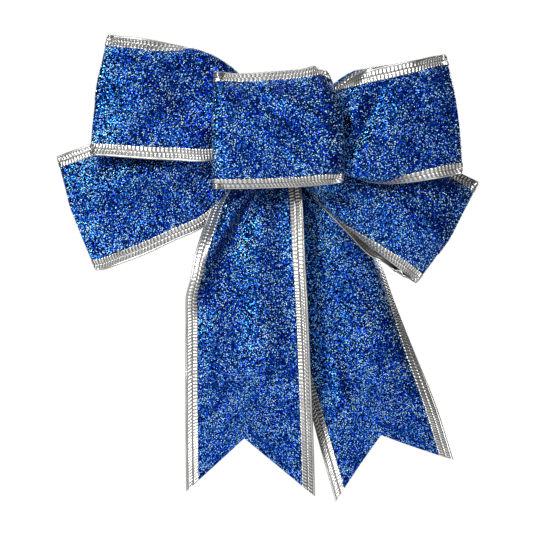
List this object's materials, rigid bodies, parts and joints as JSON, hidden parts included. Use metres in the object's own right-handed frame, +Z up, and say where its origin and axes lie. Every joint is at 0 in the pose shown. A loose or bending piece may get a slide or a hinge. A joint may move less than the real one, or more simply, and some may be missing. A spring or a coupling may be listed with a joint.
{
  "type": "pre-made gift bow",
  "caption": "Flat-backed gift bow of wide wired glitter ribbon: looped sides, a centre loop and notched tails, gathered and bound by a twisted tie with bendable legs.",
  "frame": {"origin": "where the tie's twisted stem leaves the back of the waist", "axes": "+Z up as the bow hangs, with its tails towards -Z; -Y out of the bow's front; +Y out of its back, along the tie's stem; +X to the right seen from the front"},
  "size_m": [0.2124, 0.0608, 0.232],
  "materials": {
    "glitter_ribbon": "royal blue woven ribbon covered in coarse mirror glitter",
    "gathered_ribbon": "the same ribbon gathered tight, its dark navy reverse showing",
    "metallic_edging": "silver metallic yarn binding in two ribbed lanes",
    "edging_wire": "soft annealed wire",
    "tie_coat": "thin blue plastic coat",
    "tie_core": "cut end of soft steel wire"
  },
  "bodies": {
    "waist": {"centre_loop_bottom_edging": "metallic_edging", "centre_loop_bottom_wire": "edging_wire", "centre_loop_ribbon": "glitter_ribbon", "centre_loop_top_edging": "metallic_edging", "centre_loop_top_wire": "edging_wire", "left_tail_waist": "gathered_ribbon", "lower_loops_waist": "gathered_ribbon", "right_tail_waist": "gathered_ribbon", "tie_twist": "tie_coat", "upper_loops_waist": "gathered_ribbon", "waist_tie": "tie_coat"},
    "upper_left_loop": {"upper_left_loop_bottom_edging": "metallic_edging", "upper_left_loop_bottom_wire": "edging_wire", "upper_left_loop_ribbon": "glitter_ribbon", "upper_left_loop_top_edging": "metallic_edging", "upper_left_loop_top_wire": "edging_wire"},
    "upper_right_loop": {"upper_right_loop_bottom_edging": "metallic_edging", "upper_right_loop_bottom_wire": "edging_wire", "upper_right_loop_ribbon": "glitter_ribbon", "upper_right_loop_top_edging": "metallic_edging", "upper_right_loop_top_wire": "edging_wire"},
    "lower_left_loop": {"lower_left_loop_bottom_edging": "metallic_edging", "lower_left_loop_bottom_wire": "edging_wire", "lower_left_loop_ribbon": "glitter_ribbon", "lower_left_loop_top_edging": "metallic_edging", "lower_left_loop_top_wire": "edging_wire"},
    "lower_right_loop": {"lower_right_loop_bottom_edging": "metallic_edging", "lower_right_loop_bottom_wire": "edging_wire", "lower_right_loop_ribbon": "glitter_ribbon", "lower_right_loop_top_edging": "metallic_edging", "lower_right_loop_top_wire": "edging_wire"},
    "left_tail": {"left_tail_left_edging": "metallic_edging", "left_tail_left_wire": "edging_wire", "left_tail_ribbon": "glitter_ribbon", "left_tail_right_edging": "metallic_edging", "left_tail_right_wire": "edging_wire"},
    "right_tail": {"right_tail_left_edging": "metallic_edging", "right_tail_left_wire": "edging_wire", "right_tail_ribbon": "glitter_ribbon", "right_tail_right_edging": "metallic_edging", "right_tail_right_wire": "edging_wire"},
    "left_tie_leg": {"left_tie_leg": "tie_coat", "left_tie_leg_core": "tie_core"},
    "right_tie_leg": {"right_tie_leg": "tie_coat", "right_tie_leg_core": "tie_core"}
  },
  "joints": [
    {"name": "upper_left_loop_fan", "type": "hinge", "parent": "waist", "child": "upper_left_loop", "pos_m": [0, 0, 0], "axis": [0, -1, 0], "range_deg": [-12, 6]},
    {"name": "upper_right_loop_fan", "type": "hinge", "parent": "waist", "child": "upper_right_loop", "pos_m": [0, 0, 0], "axis": [0, -1, 0], "range_deg": [-6, 12]},
    {"name": "lower_left_loop_fan", "type": "hinge", "parent": "waist", "child": "lower_left_loop", "pos_m": [0, 0, 0], "axis": [0, -1, 0], "range_deg": [-12, 8]},
    {"name": "lower_right_loop_fan", "type": "hinge", "parent": "waist", "child": "lower_right_loop", "pos_m": [0, 0, 0], "axis": [0, -1, 0], "range_deg": [-8, 12]},
    {"name": "left_tail_fan", "type": "hinge", "parent": "waist", "child": "left_tail", "pos_m": [0, 0, 0], "axis": [0, -1, 0], "range_deg": [-12, 8]},
    {"name": "right_tail_fan", "type": "hinge", "parent": "waist", "child": "right_tail", "pos_m": [0, 0, 0], "axis": [0, -1, 0], "range_deg": [-8, 12]},
    {"name": "left_tie_leg_bend", "type": "hinge", "parent": "waist", "child": "left_tie_leg", "pos_m": [-0.00125, 0.00865, 0.0016], "axis": [0, 0, 1], "range_deg": [-85, 0]},
    {"name": "right_tie_leg_bend", "type": "hinge", "parent": "waist", "child": "right_tie_leg", "pos_m": [0.00125, 0.00865, -0.0016], "axis": [0, 0, 1], "range_deg": [0, 85]}
  ]
}
